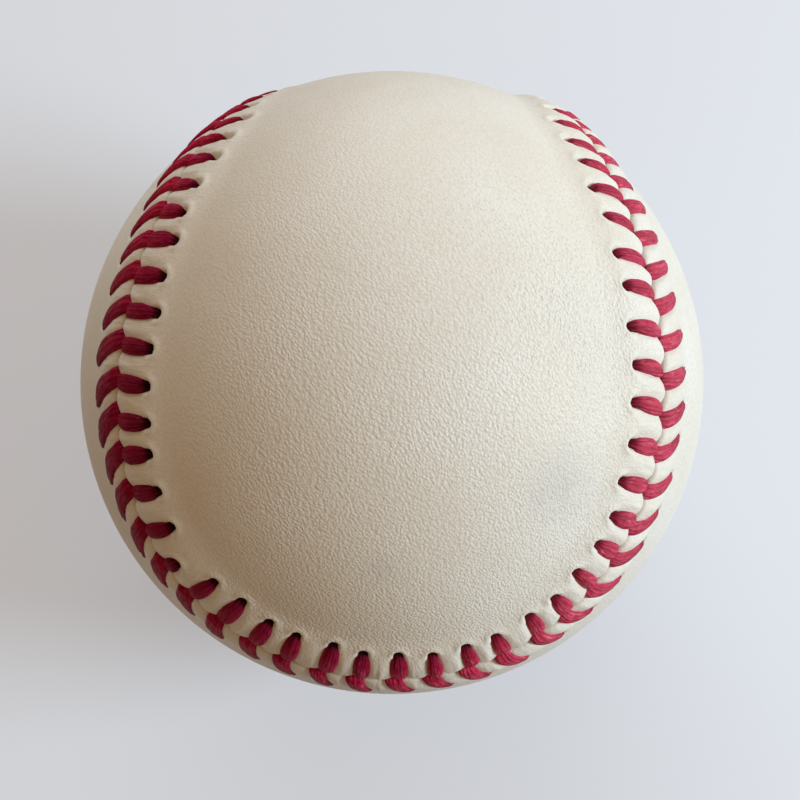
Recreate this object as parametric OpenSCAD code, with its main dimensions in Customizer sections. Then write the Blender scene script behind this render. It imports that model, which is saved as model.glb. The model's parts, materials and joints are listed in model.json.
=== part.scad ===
// Sewn ball with a cork and rubber centre, four yarn windings and a two-panel leather cover.
// The origin is the ball's centre. One panel has its lobes up and down, the other to the sides.

/* [Ball] */
// Diameter over the smooth leather
ball_d = 74; // [72:0.5:77]

/* [Centre] */
// Diameter of the cork centre
cork_d = 20.6; // [18:0.2:23]
// Thickness of the two black rubber half shells
half_shell_t = 4; // [3:0.1:5]
// Thickness of the red gasket between the half shells
gasket_t = 1.2; // [0.8:0.1:2]
// Thickness of the red rubber jacket
jacket_t = 2.3; // [1.5:0.1:3]

/* [Windings] */
// Thickness of the second winding
second_winding_t = 1.8; // [1:0.1:3]
// Thickness of the third winding
third_winding_t = 2.2; // [1:0.1:3]
// Thickness of the finishing winding
finishing_winding_t = 0.5; // [0.3:0.1:1]
// Thickness of the cement coat under the leather
cement_t = 0.1; // [0.05:0.05:0.3]
// Radial clearance between one layer and the next
layer_gap = 0.05; // [0.03:0.01:0.1]

/* [Cover] */
// Thickness of the leather
leather_t = 1.3; // [1.2:0.05:1.5]
// Narrowest width of a panel, from seam to seam over the surface
waist_w = 26; // [23:0.5:29]
// Squareness of the panels' round lobes
lobe_squareness = 0.014; // [0:0.001:0.02]
// Gap between the edges of the two panels
seam_gap = 0.2; // [0.1:0.05:0.3]
// Height of the puffed leather beside the seam
puff_h = 0.7; // [0.5:0.05:0.9]
// Radius of each puff
puff_r = 5; // [4.5:0.1:6]
// Distance from the seam to the crown of a puff
puff_offset = 1.9; // [1.6:0.1:2.2]

/* [Stitches] */
// Number of stitch pairs along the seam
stitch_pairs = 108; // [104:2:112]
// Distance from the seam to the stitch holes, over the surface
hole_offset = 4.2; // [4:0.1:4.8]
// Diameter of the stitch holes
hole_d = 1.3; // [1.25:0.05:1.5]
// Width of the thread where it lies flat on the leather
thread_w = 1.8; // [1.4:0.1:2]
// Thickness of the thread where it lies flat on the leather
thread_t = 0.7; // [0.5:0.05:0.8]
// Width of the thread where it passes through the cover
neck_w = 0.9; // [0.7:0.05:1]
// Thickness of the thread where it passes through and under the cover
neck_t = 0.5; // [0.4:0.05:0.55]
// Lean of the stitches on the upright panel, along the seam
upright_lean = 0.6; // [0.2:0.1:1.2]
// Lean of the stitches on the crosswise panel, along the seam
crosswise_lean = 1.7; // [1.2:0.1:2]
// Distance along the seam between the two threads of a pair
pair_step = 1.1; // [1.05:0.05:1.4]
// Furthest drift of the hand-sewn stitches from even spacing, along the seam
stitch_drift = 1.2; // [0:0.1:1.5]
// Clearance around the thread in the leather
thread_clearance = 0.1; // [0.05:0.01:0.12]

/* [Hidden] */
$fn = 96;

// Radii of the layers, from the centre out to the pill and from the leather in to the windings
cork_r = cork_d / 2;
half_shell_r = cork_r + layer_gap + half_shell_t;
jacket_r = half_shell_r + layer_gap + jacket_t;
ball_r = ball_d / 2;
leather_inner_r = ball_r - leather_t;
cement_r = leather_inner_r - layer_gap;
finishing_winding_r = cement_r - cement_t - layer_gap;
third_winding_r = finishing_winding_r - finishing_winding_t - layer_gap;
second_winding_r = third_winding_r - third_winding_t - layer_gap;
first_winding_r = second_winding_r - second_winding_t - layer_gap;

// Sides of the panels, as signs of the distance from the seam
UPRIGHT = 1;
CROSSWISE = -1;

// The seam is a closed curve of a few harmonics that stays on the sphere
degrees_per_radian = 180 / PI;
waist_angle = waist_w / ball_d * degrees_per_radian;
fifth_harmonic = lobe_squareness;
third_harmonic = (1 - sin(waist_angle)) / 2 + fifth_harmonic;
first_harmonic = 1 - third_harmonic + fifth_harmonic;
swing = 2 * sqrt(first_harmonic * third_harmonic - fifth_harmonic * (first_harmonic + third_harmonic));
fine_swing = 2 * third_harmonic * fifth_harmonic / swing;
level_speed = pow(first_harmonic, 2) + 9 * pow(third_harmonic, 2) + 25 * pow(fifth_harmonic, 2);
mean_speed = sqrt(level_speed + 2 * pow(swing, 2) + 18 * pow(fine_swing, 2));
ripple_sum = first_harmonic * (third_harmonic - 9 * fifth_harmonic) - 16 * third_harmonic * fifth_harmonic;
speed_ripple = ripple_sum / pow(mean_speed, 2);
seam_length = 2 * PI * mean_speed * ball_r;
stitch_pitch = seam_length / stitch_pairs;
// Share of a pitch by which the first pair lies past the front of the upper lobe
first_pair_share = 0.42;

// Evenly spaced turns along the seam, in degrees, to the angle of the curve
function seam_angle(turn) = turn + degrees_per_radian * speed_ripple / 4 * sin(4 * turn);
function unit(v) = v / norm(v);
function seam_normal(t) = unit([
  first_harmonic * sin(t) + third_harmonic * sin(3 * t) + fifth_harmonic * sin(5 * t),
  -swing * cos(2 * t) - fine_swing * cos(6 * t),
  first_harmonic * cos(t) - third_harmonic * cos(3 * t) + fifth_harmonic * cos(5 * t)
]);
function seam_direction(t) = unit([
  first_harmonic * cos(t) + 3 * third_harmonic * cos(3 * t) + 5 * fifth_harmonic * cos(5 * t),
  2 * swing * sin(2 * t) + 6 * fine_swing * sin(6 * t),
  -first_harmonic * sin(t) + 3 * third_harmonic * sin(3 * t) - 5 * fifth_harmonic * sin(5 * t)
]);
function turn_of(length) = 360 * length / seam_length;
// Unit vector to a point at a length along the seam and a distance across it
function normal_at(along, across) =
  let (t = seam_angle(turn_of(along)), angle = across / ball_r * degrees_per_radian)
  seam_normal(t) * cos(angle) + cross(seam_normal(t), seam_direction(t)) * sin(angle);
function point_at(p) = normal_at(p[0], p[1]) * (ball_r + p[2]);

// Stitches: a place is [length along the seam, distance across it, height over the smooth leather]
function lean(side) = side == UPRIGHT ? upright_lean : crosswise_lean;
function pair_along(pair) =
  let (even = (pair + first_pair_share) * stitch_pitch)
  even - stitch_drift * sin(turn_of(even));
function seam_along(pair, side) = pair_along(pair) + side * pair_step / 2;
function hole_along(pair, side) = seam_along(pair, side) + lean(side);
function leg_along(pair, side, across) = seam_along(pair, side) + lean(side) * across / hole_offset;
// Least distance between two puffs, on the inside of the seam's tightest bend
puff_points = [for (pair = [0 : stitch_pairs]) point_at([pair_along(pair), puff_offset, 0])];
puff_step = min([for (pair = [1 : stitch_pairs]) norm(puff_points[pair] - puff_points[pair - 1])]);
// Height of the leather in the valley between those puffs
function valley_h(across) =
  let (reach = pow(puff_step / 2, 2) + pow(across - puff_offset, 2))
  max(0, sqrt(pow(puff_r, 2) - reach) - puff_r + puff_h);

// Places of the thread along one stitch: below and above the hole, over the crown, and in the seam
hidden_h = -leather_t + neck_t / 2 + thread_clearance;
hole_edge_across = hole_offset - hole_d / 4;
hole_edge_h = thread_t;
hole_middle_across = (hole_offset + hole_edge_across) / 2;
crown_across = puff_offset;
crown_h = valley_h(crown_across) + thread_clearance + thread_t / 2;
shoulder_across = (neck_t + seam_gap) / 2 + thread_clearance;
shoulder_h = (valley_h(shoulder_across) + valley_h(crown_across) + thread_t) / 2 + thread_clearance;
function stitch_places(pair, side) = [
  [hole_along(pair, side), side * hole_offset, hidden_h],
  [leg_along(pair, side, hole_edge_across), side * hole_edge_across, hole_edge_h],
  [leg_along(pair, side, crown_across), side * crown_across, crown_h],
  [leg_along(pair, side, shoulder_across), side * shoulder_across, shoulder_h],
  [seam_along(pair, side), 0, hidden_h]
];
stitch_sizes = [
  [neck_w, neck_t],
  [(neck_w + thread_w) / 2, neck_t],
  [thread_w, thread_t],
  [(neck_w + thread_w) / 2, neck_t],
  [neck_w, neck_t]
];
rings_per_stitch = len(stitch_sizes);
thread_sides = 4;

// A thread changes panel at every stitch and works back along the seam
function stitch_side(thread, stitch) = (stitch + thread) % 2 == 0 ? UPRIGHT : CROSSWISE;
function thread_places(thread) = [
  for (stitch = [0 : stitch_pairs - 1])
    each stitch_places(stitch_pairs - stitch, stitch_side(thread, stitch))
];

// One flattened ring of the thread, mitred between the stretches before and after it
function ring(places, points, i) =
  let (
    last = len(points) - 1,
    before = unit(points[max(i, 1)] - points[max(i, 1) - 1]),
    after = unit(points[min(i, last - 1) + 1] - points[min(i, last - 1)]),
    forward = unit(before + after),
    seam_way = seam_direction(seam_angle(turn_of(places[i][0]))),
    width_way = unit(seam_way - (seam_way * forward) * forward),
    thick_way = cross(forward, width_way) / (forward * after),
    size = stitch_sizes[i % rings_per_stitch] / 2
  )
  [
    for (side = [0 : thread_sides - 1])
      let (a = 360 * side / thread_sides)
        points[i] + width_way * size[0] * cos(a) + thick_way * size[1] * sin(a)
  ];

// One unbroken thread, swept as a closed skin over its rings
module sewing_thread(thread) {
  places = thread_places(thread);
  points = [for (p = places) point_at(p)];
  ring_count = len(points);
  skin = [for (i = [0 : ring_count - 1]) each ring(places, points, i)];
  walls = [
    for (i = [0 : ring_count - 2], k = [0 : thread_sides - 1])
      let (
        near = i * thread_sides,
        far = near + thread_sides,
        next = (k + 1) % thread_sides
      )
      each [[near + k, far + k, far + next], [near + k, far + next, near + next]]
  ];
  first_cap = [for (k = [1 : thread_sides - 2]) [0, k, k + 1]];
  last = (ring_count - 1) * thread_sides;
  last_cap = [for (k = [1 : thread_sides - 2]) [last, last + k + 1, last + k]];
  polyhedron(skin, concat(walls, first_cap, last_cap));
}

// Frame on the surface: x towards a second point, z outwards
module on_surface(origin, towards) {
  up = unit(origin + towards);
  ahead = unit((towards - origin) - ((towards - origin) * up) * up);
  left = cross(up, ahead);
  middle = (origin + towards) / 2;
  multmatrix([
    [ahead[0], left[0], up[0], middle[0]],
    [ahead[1], left[1], up[1], middle[1]],
    [ahead[2], left[2], up[2], middle[2]],
    [0, 0, 0, 1]
  ])
    children();
}

// Round hole through the leather, square to the surface
module passage(along, across, d) {
  up = normal_at(along, across);
  rotate([0, acos(up[2]), atan2(up[1], up[0])])
    translate([0, 0, leather_inner_r - leather_t])
      cylinder(d = d, h = 2 * leather_t + puff_h + thread_t);
}

// Holes, seam notches and hidden channels that let the threads through one panel
module thread_passages(side) {
  slot_l = pair_step + (neck_w + thread_w) / 2 + 2 * thread_clearance;
  slot_w = 2 * (shoulder_across + neck_t / 2 + thread_clearance);
  channel_w = neck_w + 2 * thread_clearance;
  channel_t = neck_t + 2 * thread_clearance;
  for (pair = [1 : stitch_pairs]) {
    passage(leg_along(pair, side, hole_middle_across), side * hole_middle_across, hole_d);
    on_surface(
      point_at([seam_along(pair, CROSSWISE), 0, 0]),
      point_at([seam_along(pair, UPRIGHT), 0, 0])
    )
      cube([slot_l, slot_w, 2 * (leather_t + thread_t)], center = true);
    seam_end = point_at([seam_along(pair, -side), 0, hidden_h]);
    hole_end = point_at([hole_along(pair - 1, side), side * hole_offset, hidden_h]);
    on_surface(seam_end, hole_end)
      cube([norm(hole_end - seam_end) + neck_t, channel_w, channel_t], center = true);
  }
}

// Row of rounded puffs, one between each stitch and the next
module puffs(side) {
  puff_centre_h = puff_h - puff_r;
  for (pair = [1 : stitch_pairs])
    translate(point_at([leg_along(pair + 0.5, side, puff_offset), side * puff_offset, puff_centre_h]))
      sphere(puff_r);
}

// Wedge from the ball's centre that holds all of one panel, with its edge beside the seam
module panel_wedge(side) {
  edge_count = stitch_pairs;
  start_turn = side == UPRIGHT ? 0 : 90;
  reach = ball_d;
  edge = [
    for (i = [0 : edge_count - 1])
      normal_at((start_turn / 360 + i / edge_count) * seam_length, side * seam_gap / 2) * reach
  ];
  walls = [for (i = [0 : edge_count - 1]) [i, (i + 1) % edge_count, edge_count]];
  cap = [
    for (i = [0 : edge_count / 2 - 1])
      let (mirror = (edge_count - i) % edge_count, next_mirror = edge_count - i - 1)
      each [
        if (i > 0) [i, mirror, i + 1],
        if (i < edge_count / 2 - 1) [i + 1, mirror, next_mirror]
      ]
  ];
  faces = concat(walls, cap);
  polyhedron(concat(edge, [[0, 0, 0]]), side == UPRIGHT ? faces : [for (f = faces) [f[0], f[2], f[1]]]);
}

// One leather panel with puffed edges, stitch holes and thread channels
module cover_panel(side) {
  difference() {
    intersection() {
      difference() {
        union() {
          sphere(ball_r);
          puffs(side);
        }
        sphere(leather_inner_r);
      }
      panel_wedge(side);
    }
    thread_passages(side);
  }
}

// Hollow ball between two radii
module layer(outer_r, inner_r) {
  difference() {
    sphere(outer_r);
    sphere(inner_r);
  }
}

// Half of the black rubber layer, clear of the gasket
module half_shell() {
  intersection() {
    layer(half_shell_r, cork_r + layer_gap);
    translate([0, 0, gasket_t / 2 + layer_gap])
      cylinder(r = ball_r, h = ball_r);
  }
}

module cork_core() {
  color("#b98a5a")
    sphere(cork_r);
}

module upper_half_shell() {
  color("#26262a")
    half_shell();
}

module lower_half_shell() {
  color("#26262a")
    mirror([0, 0, 1])
      half_shell();
}

module half_shell_gasket() {
  color("#b3372f")
    intersection() {
      layer(half_shell_r, cork_r + layer_gap);
      cylinder(r = ball_r, h = gasket_t, center = true);
    }
}

module rubber_jacket() {
  color("#b3372f")
    layer(jacket_r, half_shell_r + layer_gap);
}

module first_winding() {
  color("#8d8f91")
    layer(first_winding_r, jacket_r + layer_gap);
}

module second_winding() {
  color("#e9e4d6")
    layer(second_winding_r, first_winding_r + layer_gap);
}

module third_winding() {
  color("#9a9c9e")
    layer(third_winding_r, second_winding_r + layer_gap);
}

module finishing_winding() {
  color("#f1ede2")
    layer(finishing_winding_r, third_winding_r + layer_gap);
}

module cement_coat() {
  color("#d8cfae")
    layer(cement_r, finishing_winding_r + layer_gap);
}

module upright_panel() {
  color("#dcd5c4")
    cover_panel(UPRIGHT);
}

module crosswise_panel() {
  color("#dcd5c4")
    cover_panel(CROSSWISE);
}

module first_thread() {
  color("#8e1736")
    sewing_thread(0);
}

module second_thread() {
  color("#8e1736")
    sewing_thread(1);
}

cork_core();
upper_half_shell();
lower_half_shell();
half_shell_gasket();
rubber_jacket();
first_winding();
second_winding();
third_winding();
finishing_winding();
cement_coat();
upright_panel();
crosswise_panel();
first_thread();
second_thread();
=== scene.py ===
import json
import math

import bpy
import numpy as np
from mathutils import Matrix, Vector
from mathutils.geometry import delaunay_2d_cdt


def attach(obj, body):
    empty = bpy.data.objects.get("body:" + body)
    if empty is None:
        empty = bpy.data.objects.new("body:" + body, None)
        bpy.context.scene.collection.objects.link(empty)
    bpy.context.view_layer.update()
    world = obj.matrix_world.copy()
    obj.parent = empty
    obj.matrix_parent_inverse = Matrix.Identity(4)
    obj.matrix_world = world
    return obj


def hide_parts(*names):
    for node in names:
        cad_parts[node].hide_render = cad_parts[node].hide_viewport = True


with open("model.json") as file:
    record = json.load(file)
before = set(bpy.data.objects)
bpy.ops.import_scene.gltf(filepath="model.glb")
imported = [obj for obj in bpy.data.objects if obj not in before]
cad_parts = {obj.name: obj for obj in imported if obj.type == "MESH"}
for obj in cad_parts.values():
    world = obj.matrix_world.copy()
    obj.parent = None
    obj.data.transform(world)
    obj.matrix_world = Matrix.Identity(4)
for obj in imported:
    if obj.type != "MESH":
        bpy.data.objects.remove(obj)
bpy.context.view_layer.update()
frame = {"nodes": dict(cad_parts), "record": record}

# Lengths are in millimetres until a mesh is made
MM = 0.001

# The two sides of the seam, by the panel that lies there
UPRIGHT = 1
CROSSWISE = -1

# Sizes of the ball and its seam, as the solids have them
mounts = {mount["name"]: mount for mount in frame["record"]["mounts"]}
BALL_R = -mounts["cradle"]["pos_m"][2] / MM
WAIST_W = 26.0
LOBE_SQUARENESS = 0.014
LEATHER_T = 1.3
PAIRS = 108
FIRST_PAIR_SHARE = 0.42
STITCH_DRIFT = 1.2

# Step between the two legs of a pair, and the holes' distance from the seam with its changes round the ball
PAIR_STEP = 0.6
HOLE_OFFSET = {UPRIGHT: 3.9, CROSSWISE: 5.3}
HOLE_SWAY = {UPRIGHT: 0.35, CROSSWISE: 0.2}
HOLE_SWAYS = 8
HOLE_SWING = {UPRIGHT: 0.3, CROSSWISE: 0.0}

# Where hand sewing strays: rows of size, place along the seam and reach, the last two in degrees of its turn

# The seam's stray to the crosswise panel, and the pairs' stray along the seam
SWAY_ROWS = ((4.2, 85, 18), (3.9, -84, 17), (0.95, -23, 11))
DRIFT_ROWS = ((3.0, -76, 17), (-1.1, -33, 14), (-1.9, 70, 16))

# A leg's lean along the seam, the curve of that lean and the leg's step from the middle of its pair
LEAN_ROWS = {
    UPRIGHT: ((1.0, 55, 17), (-0.55, -9, 8), (0.4, 14, 8), (0.3, 42, 6)),
    CROSSWISE: ((1.3, -30, 12), (0.9, 24, 5.5), (-0.4, 45, 6), (0.5, 48, 12)),
}
BEND_ROWS = {UPRIGHT: (), CROSSWISE: ((-0.45, -36, 24),)}
STEP_ROWS = {UPRIGHT: (), CROSSWISE: ((-0.5, 48, 12),)}

# A hole's distance from the seam, its opening past the leg's end and its loss of radius
HOLE_ROWS = {
    UPRIGHT: (
        (1.1, -14, 8.5), (0.35, 0, 6), (0.4, 33, 9), (0.3, 62, 8),
        (-0.95, -58, 6), (-1.2, -74, 8), (-1.6, 77, 6),
    ),
    CROSSWISE: ((0.7, -25, 25),),
}
GAPE_ROWS = {UPRIGHT: ((0.8, -65, 9),), CROSSWISE: ()}
NARROW_ROWS = {UPRIGHT: ((0.12, -63, 12),), CROSSWISE: ()}

# Shares of width that a leg loses all along and at the seam, and gains at its hole and in its middle
SLIM_ROWS = {UPRIGHT: ((0.25, -70, 12), (0.36, 66, 14)), CROSSWISE: ((0.25, -70, 12), (-0.28, -28, 18))}
PINCH_ROWS = {UPRIGHT: ((-0.2, -50, 15), (0.15, -28, 12), (0.36, 58, 25), (-0.16, 23, 15)), CROSSWISE: ()}
BLUNT_ROWS = {UPRIGHT: (), CROSSWISE: ((0.5, 64, 11), (0.5, -36, 24))}
FULL_ROWS = {UPRIGHT: (), CROSSWISE: ((0.35, -29, 16),)}

# Loss of a leg's thickness, holes with less painted shade, and legs painted darker where the ball is in shade
THIN_ROWS = ((0.2, -78, 14),)
PALER_HOLE_ROWS = ((0.42, 36, 30), (0.5, 68, 14), (0.5, -66, 12), (0.25, -34, 18))
SHADE_SIDE_ROWS = ((0.44, -34, 25), (0.2, -1, 14))

# Share of its height that the welt gains, and its gain of reach from the seam
WELT_ROWS = ((-0.5, -77, 13),)
REACH_ROWS = {UPRIGHT: ((-2.6, 77, 14), (-2.4, -77, 14)), CROSSWISE: ((1.2, 75, 12),)}

# One slipped stitch that ends short and has a little more painted shade, and one long stitch, both on the
# upright panel
SLIPPED_PAIR = 101
SLIP = -2.2
SLIP_SHADE = 0.1
LONG_PAIR = 106
LONG = 0.8

# Random differences from stitch to stitch, with the strands' mean twist and the least random share of painted
# shade in a hole
SEED = 27
SEAM_SPREAD = 0.1
LEAN_SPREAD = 0.14
HOLE_SPREAD = 0.13
WIDTH_SPREAD = 0.08
THICKNESS_SPREAD = 0.04
PRESS_SPREAD = 0.1
STRAND_TWIST = 0.4
TWIST_SPREAD = 0.35
LEAST_HOLE_SHADE = 0.75

# The band of leather beside the seam, and the seam's scallops, which are calmer near its turn of 0
BAND_W = 9.0
SCALLOP = 0.2
SCALLOP_W = 3.2
SCALLOP_CALM = 0.7
SCALLOP_CALM_REACH = 15

# The welt, with the share of its height at the seam and the share that the leather's underside follows
WELT_H = 1.0
WELT_SWING = 0.22
WELT_CREST = 1.7
WELT_END = 7.6
EDGE_SHARE = 0.8
INNER_SHARE = 0.75

# Leather pressed by a leg, up to where the leg ends in shares of the way to its hole
PRESS_SHARE = 0.55
PRESS_W = 0.95
PRESS_END = (1.15, 0.85)

# The leather's rolled edge, with a notch at each leg that fades away from the seam
EDGE_ROLL = 0.5
EDGE_GAP = 0.03
EDGE_NOTCH = 0.22
NOTCH_FADE = (0.5, 3.5)
FOOT_DROPS = (0.7, 0.3)

# Holes, with the power that makes their walls steep, and their raised rims on the side away from the leg
PIT_DEPTH = {UPRIGHT: 1.0, CROSSWISE: 0.7}
PIT_R = {UPRIGHT: 0.54, CROSSWISE: 0.42}
PIT_STEP = {UPRIGHT: 0.14, CROSSWISE: -0.05}
PIT_WALL = 4
RIM_H = {UPRIGHT: 0.13, CROSSWISE: 0.03}
RIM_R = 0.95
RIM_W = 0.3
RIM_RISE = (-0.3, 0.7)

# Creases: lengths of their folds, how they wander, and where the faint and the strong ones fade out
CREASE_H = 0.13
CREASE_LENGTHS = (0.61, 0.83, 1.17, 1.61, 2.3)
CREASE_WANDER = 1.6
CREASE_WANDER_W = 1.1
FAINT_CREASE_SHARE = 0.25
FAINT_CREASE_FADE = (6.5, 4.0)
STRONG_CREASE_FADE = (3.6, 1.4)
CREASE_EDGE = (0.2, 0.9)

# A leg of the sewing thread: its lean and the curve of it, its width and thickness, and how deep it sinks in
LEAN = {UPRIGHT: 0.15, CROSSWISE: 1.65}
LEAN_SWING = {UPRIGHT: 0.0, CROSSWISE: 0.5}
LEAN_OVERRUN = 1.3
BEND = {UPRIGHT: 0.65, CROSSWISE: 1.4}
PINCH = {UPRIGHT: 0.22, CROSSWISE: 0.0}
SLIM_SWING = 0.06
LEG_W = 1.8
LEG_T = 0.85
LEG_SINK = 0.16

# Shares of a leg's full width and thickness at shares of the way from the seam to its hole
LEG_SHARES = (0.0, 0.1, 0.25, 0.45, 0.65, 0.85, 1.0)
WIDTH_SHARES = {
    UPRIGHT: (0.96, 0.98, 1.0, 1.02, 1.0, 0.86, 0.56),
    CROSSWISE: (0.98, 1.02, 1.02, 0.98, 0.88, 0.68, 0.42),
}
THICK_SHARES = {
    UPRIGHT: (0.6, 0.8, 0.96, 1.0, 0.95, 0.78, 0.55),
    CROSSWISE: (1.0, 1.06, 1.04, 0.96, 0.86, 0.7, 0.5),
}
PINCH_FADE = (0.4, 0.0)
BLUNT_FADE = (0.4, 1.0)
FULL_START = (0.2, 0.55)
FULL_END = (1.0, 0.65)
FRAY_FADE = (0.7, 0.95)

# Painted shade on a leg towards its hole, painted shade from its hole and the least painted shade at its seam
# end
LEG_SHADE = 0.16
LEG_SHADE_FADE = (0.3, 0.8)
HOLE_SHADE_FADE = (0.85, 1.0)
SEAM_END_SHADE = 0.2

# The thread's neck in the hole and under the leather, and its way down into the seam at the leg's other end
NECK_W = 0.6
NECK_T = 0.55
NECK_LIFT = 0.12
NECK_RISE = 0.5
HOLE_SEAT = 0.2
SEAM_END = {UPRIGHT: 0.04, CROSSWISE: -0.14}
SEAM_END_DROP = 0.25
SEAM_END_WIDTH = 0.85
DIVE_STEP = 0.12
DIVE_DROP = 0.75
FOOT_STEP = 0.36
FOOT_RISE = 0.1

# The thread's section, a fuller ellipse, with uneven grooves between its strands and frayed ends
SECTION_POWER = 0.85
STRANDS = 4
STRAND_DEPTH = 0.36
STRAND_WARP = 0.14
STRAND_WARP_TURN = 2.5
GROOVE_MEAN = 0.6
GROOVE_SWING = 0.4
GROOVE_TURN = 2.1
GROOVE_SHIFT = 9
FRAY_DEPTH = 0.3
FRAY_REACH = 0.42

# Fineness of the meshes: rows of the leather's band by distance from the seam, and rings of the thread
COLUMNS_PER_PAIR = 16
ROLL_ROWS = 6
FINE_STEP = 0.2
FINE_END = 5.0
COARSE_STEP = 0.28
COARSE_END = 7.3
INNER_ROWS = (6.0, 4.0, 2.0, 0.5)
FILL_STEP = 0.9
RING_SHARES = np.array([0.97, 0.9, 0.8, 0.69, 0.58, 0.47, 0.36, 0.26, 0.17, 0.09])
RING_STEPS = 2
TOP_SIDES = 19
UNDER_SIDES = 9

# Points on the seam to measure from, points measured at once, and the height of an even triangle of side 1
SEAM_SAMPLES = 3000
WAYS_AT_ONCE = 2000
TRIANGLE_H = 0.866

# For the flat map: triangles inside the ring only, and the distance within which points are merged
INSIDE_ONLY = 1
MERGE_WITHIN = 1e-9

rng = np.random.default_rng(SEED)


# The seam, a closed curve of a few harmonics on the ball

fifth_harmonic = LOBE_SQUARENESS
third_harmonic = (1 - math.sin(WAIST_W / 2 / BALL_R)) / 2 + fifth_harmonic
first_harmonic = 1 - third_harmonic + fifth_harmonic
swing = 2 * math.sqrt(first_harmonic * third_harmonic - fifth_harmonic * (first_harmonic + third_harmonic))
fine_swing = 2 * third_harmonic * fifth_harmonic / swing
level_speed = first_harmonic**2 + 9 * third_harmonic**2 + 25 * fifth_harmonic**2
mean_speed = math.sqrt(level_speed + 2 * swing**2 + 18 * fine_swing**2)
ripple_sum = first_harmonic * (third_harmonic - 9 * fifth_harmonic) - 16 * third_harmonic * fifth_harmonic
speed_ripple = ripple_sum / mean_speed**2
seam_length = 2 * math.pi * mean_speed * BALL_R
pitch = seam_length / PAIRS


def unit(v):
    return v / np.linalg.norm(v, axis=-1, keepdims=True)


def smooth(low, high, x):
    """Smooth step from 0 at low to 1 at high, which may be the lesser of the two."""
    share = np.clip((x - low) / (high - low), 0, 1)
    return share * share * (3 - 2 * share)


def turn_at(along):
    """Angle in radians at a length along the seam, with one whole turn for the whole seam."""
    return 2 * np.pi * np.asarray(along, float) / seam_length


def beside(turn, middle, width):
    """1 at one turn along the seam, fading to 0 on both sides. The middle and width are in degrees."""
    apart = (np.degrees(turn) - middle + 180) % 360 - 180
    return np.exp(-(apart / width)**2)


def strayed(turn, rows):
    """Sum of the rows at a turn along the seam."""
    return sum((size * beside(turn, middle, width) for size, middle, width in rows), np.zeros_like(turn))


def seam_sway(along):
    """How far the sewn seam strays to the crosswise panel, most beside the upright panel's waist."""
    return strayed(turn_at(along), SWAY_ROWS)


def drift(turn):
    """How far the hand-sewn pairs stray along the seam from even spacing."""
    return strayed(turn, DRIFT_ROWS) - STITCH_DRIFT * np.sin(turn)


def scallop(along):
    """How far the seam bows to the crosswise panel between the pairs, and back beside them."""
    turn = turn_at(along)
    pair = (along - drift(turn)) / pitch - FIRST_PAIR_SHARE
    calm = 1 - SCALLOP_CALM * beside(turn, 0, SCALLOP_CALM_REACH)
    return -SCALLOP * np.cos(2 * np.pi * pair) * calm


def seam_frame(along):
    """Outward normal, direction and the way to the upright panel at lengths along the seam."""
    turn = turn_at(along)
    t = turn + speed_ripple / 4 * np.sin(4 * turn)
    normal = unit(np.stack([
        first_harmonic * np.sin(t) + third_harmonic * np.sin(3 * t) + fifth_harmonic * np.sin(5 * t),
        -swing * np.cos(2 * t) - fine_swing * np.cos(6 * t),
        first_harmonic * np.cos(t) - third_harmonic * np.cos(3 * t) + fifth_harmonic * np.cos(5 * t),
    ], -1))
    direction = unit(np.stack([
        first_harmonic * np.cos(t) + 3 * third_harmonic * np.cos(3 * t) + 5 * fifth_harmonic * np.cos(5 * t),
        2 * swing * np.sin(2 * t) + 6 * fine_swing * np.sin(6 * t),
        -first_harmonic * np.sin(t) + 3 * third_harmonic * np.sin(3 * t) - 5 * fifth_harmonic * np.sin(5 * t),
    ], -1))
    return normal, direction, np.cross(normal, direction)


def on_ball(along, across, height):
    """Points at a length along the seam, a distance across it and a height over the smooth leather."""
    normal, _, side_way = seam_frame(along)
    across = np.asarray(across, float)
    away = np.abs(across)
    across = across - seam_sway(along) * smooth(BAND_W, 0, away) - scallop(along) * smooth(SCALLOP_W, 0, away)
    angle = across[..., None] / BALL_R
    way = normal * np.cos(angle) + side_way * np.sin(angle)
    return way * (BALL_R + np.asarray(height, float)[..., None])


# The stitches, with the small differences of hand sewing

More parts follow.
